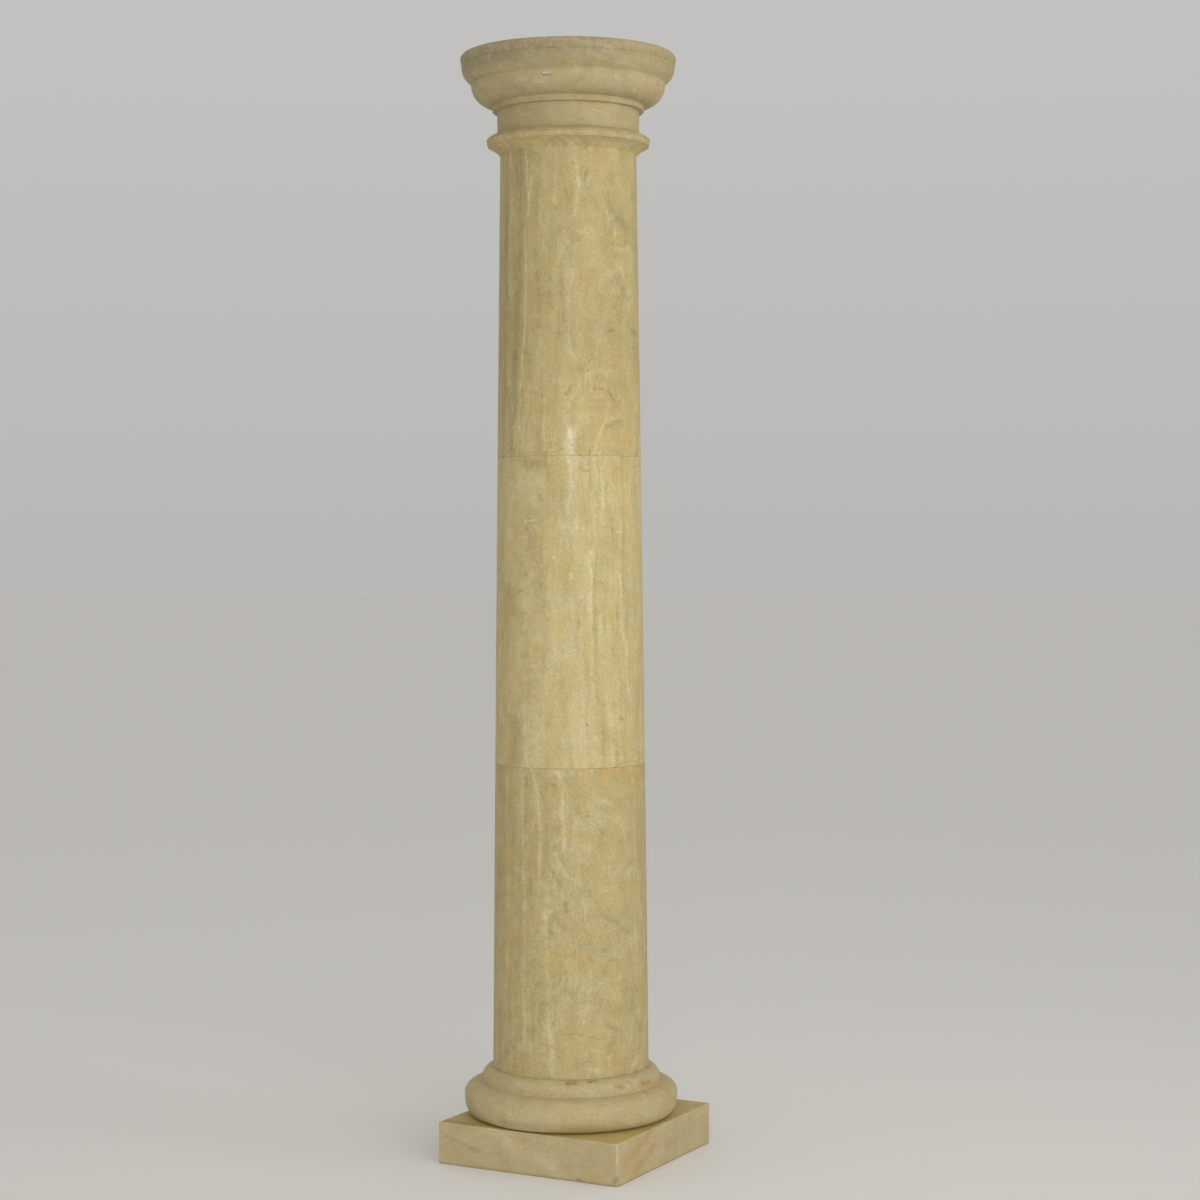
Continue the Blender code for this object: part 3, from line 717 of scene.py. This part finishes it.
upper_flaws_and_painted_light = [
    # Painted light: this broad pale band brightens the drum near its foot, towards the column's middle.
    ([(-60, 1.800), (75, 1.800)], 190, 0, "#C6B586", 0.6),
    ([(-46, 1.7895), (80, 1.7895)], 1.6, 0, "#DDD2AD", 0.2),
    ([(-38, 2.550), (-36, 2.500), (-35, 2.450), (-34, 2.410), (-35, 2.395), (-38, 2.370), (-38, 2.330),
      (-37, 2.280), (-36, 2.230), (-37, 2.200), (-38, 2.150), (-37, 2.120), (-41, 2.020), (-42, 1.970),
      (-42, 1.930), (-43, 1.880), (-44, 1.820), (-45, 1.800)], 2.6, 0, "#DDD2AD", 0.48),
    ([(-43, 2.550), (-43, 2.400), (-46, 2.200), (-50, 2.000), (-53, 1.800)], 17, 0, SHADOW, 0.5),
    ([(-43, 2.300), (-44, 2.260), (-42, 2.220)], 4, 0, SHADOW, 0.5),
    ([(-47, 2.040), (-47, 1.980), (-46, 1.950), (-48, 1.890)], 4, 0, SHADOW, 0.5),
    ([(-62, 2.550), (-63, 2.200), (-66, 1.795)], 14, 0, "#A08D60", 0.5),
    ([(-21, 2.330), (-19, 2.300), (-18, 2.270)], 3, 0, VEIN, 0.5),
    ([(-25, 2.400), (-26, 2.300), (-25, 2.250)], 3, 0, VEIN, 0.4),
    ([(-27, 2.190), (-20, 2.187)], 2.6, 0.2, "#8A7A60", 0.4),
    ([(0, 2.520), (5, 2.530), (7, 2.500), (8, 2.460), (6.5, 2.440), (7, 2.420), (5, 2.390)],
      5, 0, VEIN, 0.6),
    ([(-3, 2.450), (1, 2.420)], 5, 0, IRON, 0.26), ([(12, 2.470), (15, 2.490)], 5, 0, SHADOW, 0.5),
    ([(31, 2.410), (35, 2.390), (35, 2.360)], 7, 0, VEIN, 0.5),
    ([(46, 2.380), (56, 2.360)], 22, 0, SHADOW, 0.6),
    ([(38, 2.320), (45, 2.318), (55, 2.325), (62, 2.340)], 3.4, 0, SHADOW, 0.6),
    ([(40, 2.300), (60, 2.312)], 6, 0, VEIN, 0.45), ([(35, 2.200), (45, 2.200)], 9, 0, VEIN, 0.4),
    ([(34, 2.098), (38, 2.103)], 2.4, 1.4, "#3F3320", 0.55),
    ([(62, 2.105), (72, 2.100)], 6, 0, IRON, 0.45), ([(65, 2.090), (73, 2.093)], 2.4, 0.3, PIT, 0.44),
    ([(57, 2.060), (66, 2.062)], 2, 0.2, PIT, 0.35),
    ([(21, 2.170), (22, 2.100), (23, 2.000)], 3, 0, VEIN, 0.35),
    ([(15, 2.025), (17, 2.020)], 3, 0.2, IRON, 0.35), ([(16, 2.005), (16, 2.001)], 2.4, 0.4, PIT, 0.44),
    ([(26, 1.992), (26, 1.988)], 2.8, 0.2, IRON, 0.35),
    ([(29, 1.982), (29, 1.978)], 2.8, 0.3, IRON, 0.4),
    ([(21, 1.982), (21, 1.978)], 2.8, 0.2, IRON, 0.35),
    ([(20, 1.955), (24, 1.958), (28, 1.955), (30, 1.952)], 3.2, 0.4, PIT, 0.35),
    ([(33, 1.950), (36, 1.935), (38, 1.930)], 4, 0.6, "#5E5034", 0.34),
    ([(0, 1.950), (-3, 1.940)], 5, 0.3, "#7F6F4B", 0.42),
    ([(0, 1.955), (3, 1.965)], 3.4, 0.2, "#8E7D57", 0.4),
    ([(-22, 2.048), (-22, 2.042)], 3, 0, SHADOW, 0.5),
    ([(-23, 1.960), (-22, 1.930)], 3.4, 0, SHADOW, 0.45),
    ([(-20, 1.930), (-20, 1.850), (-20, 1.800)], 2.6, 0, VEIN, 0.5),
    # Painted highlight: a whitish streak of sheen near the front, above the joint.
    ([(1, 1.845), (2, 1.820), (2, 1.792)], 9, 0, "#E2E0D0", 0.26),
    ([(20, 1.800), (23, 1.830), (25, 1.850), (30, 1.875), (36, 1.880), (41, 1.885), (46, 1.900)],
      5, 0, VEIN, 0.6),
    ([(30, 1.860), (38, 1.865), (47, 1.880)], 5, 0, SHADOW, 0.5),
    ([(43, 1.940), (50, 1.920)], 5, 0, VEIN, 0.45), ([(45, 1.846), (45, 1.834)], 6, 0, VEIN, 0.4),
    ([(16, 1.805), (16, 1.795)], 4, 0, IRON, 0.45), ([(40, 1.830), (60, 1.820)], 10, 0, WARM, 0.4),
    # Painted highlight: a broad whitish streak of sheen near the front.
    ([(-6, 1.990), (-3, 1.900), (0, 1.800)], 16, 0, "#C9C2A4", 0.4),
    ([(-21, 1.7905), (-10, 1.800), (0, 1.810), (9, 1.7905)], 1.6, 0.3, "#6E5D3C", 0.32)]
set_in_place("upper_drum_block",
             turned_mesh("upper_drum", upper_drum_profile(upper_flaws_and_painted_light), upper_flaws_and_painted_light, 4.0),
             travertine("honed_travertine_upper_drum", (-19.0, 0.0),
                        ("#A18F60", "#B8A875", "#C8B987", "#BB9F61"),
                        stripes=0.54, cloudy=0.38, mottled=0.52, seed=3.0),
             "upper_drum")

# Capital: abacus, ovolo, fillet and neck turned from one block that beds on the shaft's head.
# Its round abacus has a fine line cut under its upper band, and a crescent chip below its lip.
TOP_BED = 2.811
BEAD_TOP_FILLET = 0.0030
BEAD_TOP_ROUND = 0.0118
BEAD_TOP_SWELL = 0.0030
NECK_RADIUS = 0.181
NECK_HEIGHT = 0.0592
FILLET_RADIUS = 0.193
FILLET_HEIGHT = 0.0155
FILLET_SOFFIT = 0.0020
OVOLO_RADIUS = 0.24775
OVOLO_FOOT_RADIUS = 0.1985
OVOLO_HEIGHT = 0.0553
OVOLO_ROUNDING = 0.0148
QUIRK_DEPTH = 0.0014
QUIRK_HEIGHT = 0.0022
ABACUS_RADIUS = 0.275
ABACUS_BAND = 0.028
ABACUS_CROWN = (0.0100, 0.0120)
ABACUS_SET_IN = 0.0030
ABACUS_ROUNDING = 0.0070
LINE_DEPTH = 0.0009
LINE_HEIGHT = 0.0022


def capital_profile():
    """Abacus, ovolo, fillet, neck and the bead's top fillet, from the top bed down."""
    neck_foot = CAPITAL_BED + BEAD_TOP_FILLET + BEAD_TOP_ROUND
    neck_top = neck_foot + NECK_HEIGHT
    fillet_top = neck_top + FILLET_SOFFIT + FILLET_HEIGHT
    ovolo_top = fillet_top + OVOLO_HEIGHT
    lip_foot = ovolo_top + QUIRK_HEIGHT
    band_foot = TOP_BED - ABACUS_BAND
    band = ABACUS_RADIUS - ABACUS_SET_IN
    crown_width, crown_height = ABACUS_CROWN
    points = oval((ABACUS_RADIUS - crown_width, TOP_BED - crown_height), crown_width, crown_height,
                  90, 0)
    points.append((band, band_foot + LINE_HEIGHT / 2))
    points.append((band - LINE_DEPTH, band_foot))
    points += bow((band, band_foot - LINE_HEIGHT / 2), (OVOLO_RADIUS, lip_foot), ABACUS_ROUNDING)
    points.append((OVOLO_RADIUS - QUIRK_DEPTH, ovolo_top))
    points += bow((OVOLO_RADIUS, ovolo_top - QUIRK_HEIGHT), (OVOLO_FOOT_RADIUS, fillet_top),
                  OVOLO_ROUNDING)
    points.append((FILLET_RADIUS, fillet_top - FILLET_SOFFIT / 2))
    points.append((FILLET_RADIUS, neck_top + FILLET_SOFFIT))
    points.append((NECK_RADIUS, neck_top))
    points.append((NECK_RADIUS, neck_foot))
    points += bow((NECK_RADIUS + BEAD_SWELL, neck_foot), (BEAD_RADIUS, CAPITAL_BED + BEAD_TOP_FILLET),
                  BEAD_TOP_SWELL)
    points.append((BEAD_RADIUS, CAPITAL_BED + BED_ARRIS))
    points.append((BEAD_RADIUS - BED_ARRIS, CAPITAL_BED))
    return points


capital_flaws_and_painted_light = [
    ([(-15.5, 2.7245), (-14, 2.7205), (-12, 2.7192), (-10, 2.7215)], 3, 2.2, PIT, 0.5),
    # Painted highlight: a pale streak on the chip's upper edge.
    ([(-14.5, 2.7268), (-10.5, 2.7262)], 2.4, 0, "#E8DFC0", 0.8),
    ([(11, 2.622), (12, 2.618)], 2.4, 0.5, PIT, 0.53), ([(-2, 2.5932), (3, 2.5932)], 2, 0.8, PIT, 0.88),
    # Painted shade: the next three bands darken the abacus on both sides and under its lip on the left.
    ([(-85, 2.785), (-40, 2.785), (20, 2.785)], 36, 0, "#948A6E", 0.55),
    ([(-75, 2.765), (-30, 2.768)], 20, 0, SHADOW, 0.3),
    ([(30, 2.785), (85, 2.785)], 30, 0, "#A0926A", 0.6),
    ([(-80, 2.5938), (80, 2.5938)], 1.6, 0, "#7F7350", 0.3),
    ([(-80, 2.5795), (80, 2.5795)], 2.2, 0, "#6E6242", 0.7),
    ([(28, 2.725), (34, 2.705)], 6, 0, VEIN, 0.35), ([(2, 2.700), (8, 2.712)], 10, 0, SHADOW, 0.35),
    ([(-40, 2.705), (-30, 2.695)], 16, 0, SHADOW, 0.45)]
set_in_place("capital_block", turned_mesh("capital", capital_profile(), capital_flaws_and_painted_light, 5.0),
             travertine("honed_travertine_capital", (30.0, 78.0),
                        ("#A09067", "#B3A47A", "#C2B389", "#B79C65"),
                        stripes=0.22, cloudy=0.34, mottled=0.50, seed=5.0),
             "capital")

# Floor, light and camera: a plain pale studio floor in a pale surround. A wide soft light with a
# grid stands a little to the right, a small one hangs high on the right, and a small lamp behind
# the camera gives the sheen.
FLOOR_RADIUS = 60.0
FLOOR_SIDES = 96
FLOOR_PAINT = "#EDEBE7"
FLOOR_ROUGHNESS = 0.9
SURROUND = "#F4F3F0"
HORIZON_GLOW = 0.535
SKY_GLOW = 0.63
SKY_FROM = 0.30
SENSOR_WIDTH = 36.0
CAMERA_AZIMUTH = 29.01
CAMERA_DISTANCE = 6.4637
CAMERA_HEIGHT = 1.5867
CAMERA_TURN = -0.69
CAMERA_PITCH = -1.44
CAMERA_ROLL = -0.15
LENS = 75.63

floor_mesh = bpy.data.meshes.new("floor")
rim = [math.tau * step / FLOOR_SIDES for step in range(FLOOR_SIDES)]
floor_mesh.from_pydata([(FLOOR_RADIUS * math.cos(turn), FLOOR_RADIUS * math.sin(turn), 0.0)
                        for turn in rim], [], [list(range(FLOOR_SIDES))])
floor = bpy.data.objects.new("floor", floor_mesh)
bpy.context.scene.collection.objects.link(floor)
floor_paint = bpy.data.materials.new("pale_studio_floor")
floor_paint.use_nodes = True
floor_shader = floor_paint.node_tree.nodes["Principled BSDF"]
floor_shader.inputs["Base Color"].default_value = linear(FLOOR_PAINT)
floor_shader.inputs["Roughness"].default_value = FLOOR_ROUGHNESS
floor.data.materials.append(floor_paint)

world = bpy.data.worlds.new("studio")
bpy.context.scene.world = world
world.use_nodes = True
surround = world.node_tree.nodes["Background"]
surround.inputs["Color"].default_value = linear(SURROUND)
# The surround is about as bright as the floor where the two meet, so that the horizon hardly shows.
skyward = add(world.node_tree, "SeparateXYZ",
              {0: add(world.node_tree, "TexCoord").outputs["Generated"]}).outputs[2]
glow = add(world.node_tree, "MapRange",
           {0: skyward, 1: 0.0, 2: SKY_FROM, 3: HORIZON_GLOW, 4: SKY_GLOW}).outputs[0]
world.node_tree.links.new(glow, surround.inputs["Strength"])
bpy.context.scene.view_settings.view_transform = "Standard"


def soft_light(name, bearing, distance, height, size, power, aim, spread=180.0):
    """A soft light, size wide and tall, on a bearing from the picture's side, aimed at the column.

    spread is the angle in degrees that its grid lets through.
    """
    lamp = bpy.data.lights.new(name, "AREA")
    lamp.shape = "RECTANGLE"
    lamp.size, lamp.size_y = size
    lamp.energy = power
    lamp.spread = math.radians(spread)
    turn = math.radians(FRONT_BEARING + bearing)
    holder = bpy.data.objects.new(name, lamp)
    holder.location = (distance * math.cos(turn), distance * math.sin(turn), height)
    holder.rotation_mode = "QUATERNION"
    towards = Vector((0.0, 0.0, aim)) - holder.location
    holder.rotation_quaternion = towards.to_track_quat("-Z", "Y")
    holder.visible_camera = False
    bpy.context.scene.collection.objects.link(holder)


soft_light("key", bearing=22.0, distance=5.5, height=1.8, size=(4.0, 3.3), power=53.0, aim=1.4,
           spread=120.0)
soft_light("upper_right", bearing=70.0, distance=1.9, height=3.2, size=(0.6, 0.6), power=6.5, aim=2.5)
soft_light("sheen", bearing=-3.5, distance=7.5, height=1.95, size=(0.4, 0.4), power=30.0, aim=1.6)

azimuth = math.radians(CAMERA_AZIMUTH)
camera = bpy.data.objects.new("camera", bpy.data.cameras.new("camera"))
camera.data.lens = LENS
camera.data.sensor_width = SENSOR_WIDTH
stand = Vector((CAMERA_DISTANCE * math.sin(azimuth), -CAMERA_DISTANCE * math.cos(azimuth),
                CAMERA_HEIGHT))
camera.matrix_world = (Matrix.Translation(stand)
                       @ Matrix.Rotation(azimuth + math.radians(CAMERA_TURN), 4, "Z")
                       @ Matrix.Rotation(math.radians(90.0 + CAMERA_PITCH), 4, "X")
                       @ Matrix.Rotation(math.radians(CAMERA_ROLL), 4, "Z"))
bpy.context.scene.collection.objects.link(camera)
bpy.context.scene.camera = camera
